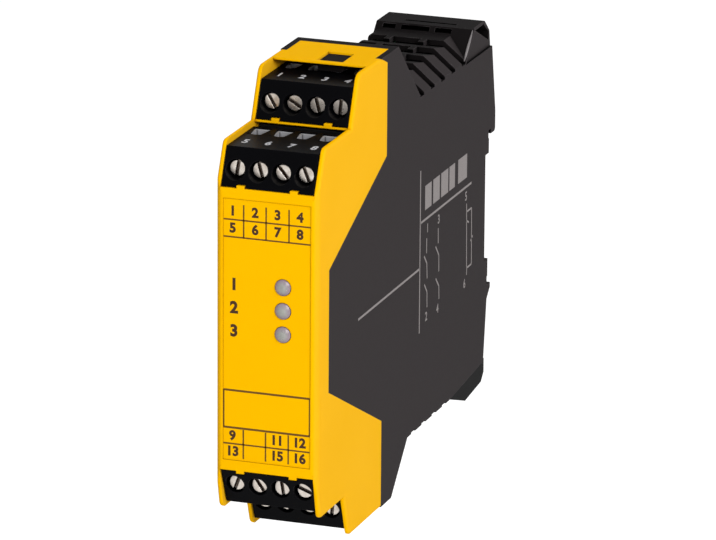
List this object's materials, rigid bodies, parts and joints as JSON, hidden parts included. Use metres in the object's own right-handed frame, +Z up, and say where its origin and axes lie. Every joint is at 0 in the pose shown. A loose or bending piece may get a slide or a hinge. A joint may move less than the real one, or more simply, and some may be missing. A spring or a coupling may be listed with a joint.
{
  "type": "safety relay",
  "caption": "Slim safety relay module for a mounting rail, with a stepped yellow front, pull-off screw terminal plugs, status lenses, louvred black housing and a sprung rail foot.",
  "frame": {"origin": "on the mounting rail's centre line, in the plane of the two rail seats, in the middle of the width", "axes": "+Y towards the rail (the front faces -Y), +Z up, +X to the right as seen from the front, along the rail"},
  "size_m": [0.0226, 0.1152, 0.099],
  "materials": {
    "housing_black": "fine moulded grain",
    "cover_yellow": "satin moulded",
    "foot_black": "fine moulded grain",
    "spring_steel": "drawn wire",
    "plug_black": "satin moulded",
    "screw_steel": "plated and worn",
    "clamp_plated": "plated",
    "contact_brass": "tinned",
    "header_black": "satin",
    "pin_tinned": "tinned",
    "board_green": "solder mask",
    "led_white": "clear",
    "lens_lilac": "frosted light guide",
    "relay_case": "satin",
    "capacitor_sleeve": "sleeved",
    "chip_black": "moulded",
    "fuse_case": "glazed",
    "varistor_blue": "dipped"
  },
  "bodies": {
    "relay_body": {"base_housing": "housing_black", "bridge_rectifier": "chip_black", "foot_spring": "spring_steel", "front_cover": "cover_yellow", "header_pins_bottom_front": "pin_tinned", "header_pins_bottom_rear": "pin_tinned", "header_pins_top_front": "pin_tinned", "header_pins_top_rear": "pin_tinned", "indicator_board": "board_green", "logic_chips": "chip_black", "main_board": "board_green", "pin_header_bottom_front": "header_black", "pin_header_bottom_rear": "header_black", "pin_header_top_front": "header_black", "pin_header_top_rear": "header_black", "safety_relay_1": "relay_case", "safety_relay_2": "relay_case", "status_leds": "led_white", "status_lens_lower": "lens_lilac", "status_lens_middle": "lens_lilac", "status_lens_upper": "lens_lilac", "supply_capacitors": "capacitor_sleeve", "supply_fuse": "fuse_case", "varistor": "varistor_blue"},
    "plug_top_front": {"plug_top_front": "plug_black", "clamp_screws_top_front": "screw_steel", "clamp_cages_top_front": "clamp_plated", "contact_sockets_top_front": "contact_brass"},
    "plug_top_rear": {"plug_top_rear": "plug_black", "clamp_screws_top_rear": "screw_steel", "clamp_cages_top_rear": "clamp_plated", "contact_sockets_top_rear": "contact_brass"},
    "plug_bottom_front": {"plug_bottom_front": "plug_black", "clamp_screws_bottom_front": "screw_steel", "clamp_cages_bottom_front": "clamp_plated", "contact_sockets_bottom_front": "contact_brass"},
    "plug_bottom_rear": {"plug_bottom_rear": "plug_black", "clamp_screws_bottom_rear": "screw_steel", "clamp_cages_bottom_rear": "clamp_plated", "contact_sockets_bottom_rear": "contact_brass"},
    "rail_foot": {"rail_foot": "foot_black"}
  },
  "joints": [
    {"name": "top_front_plug_slide", "type": "slide", "parent": "relay_body", "child": "plug_top_front", "axis": [0, -1, 0], "range_m": [0, 0.03]},
    {"name": "top_rear_plug_slide", "type": "slide", "parent": "relay_body", "child": "plug_top_rear", "axis": [0, -1, 0], "range_m": [0, 0.03]},
    {"name": "bottom_front_plug_slide", "type": "slide", "parent": "relay_body", "child": "plug_bottom_front", "axis": [0, -1, 0], "range_m": [0, 0.03]},
    {"name": "bottom_rear_plug_slide", "type": "slide", "parent": "relay_body", "child": "plug_bottom_rear", "axis": [0, -1, 0], "range_m": [0, 0.03]},
    {"name": "rail_foot_slide", "type": "slide", "parent": "relay_body", "child": "rail_foot", "axis": [0, 0, -1], "range_m": [0, 0.0035], "stiffness_N_per_m": 3000, "deforming": ["foot_spring"]}
  ]
}
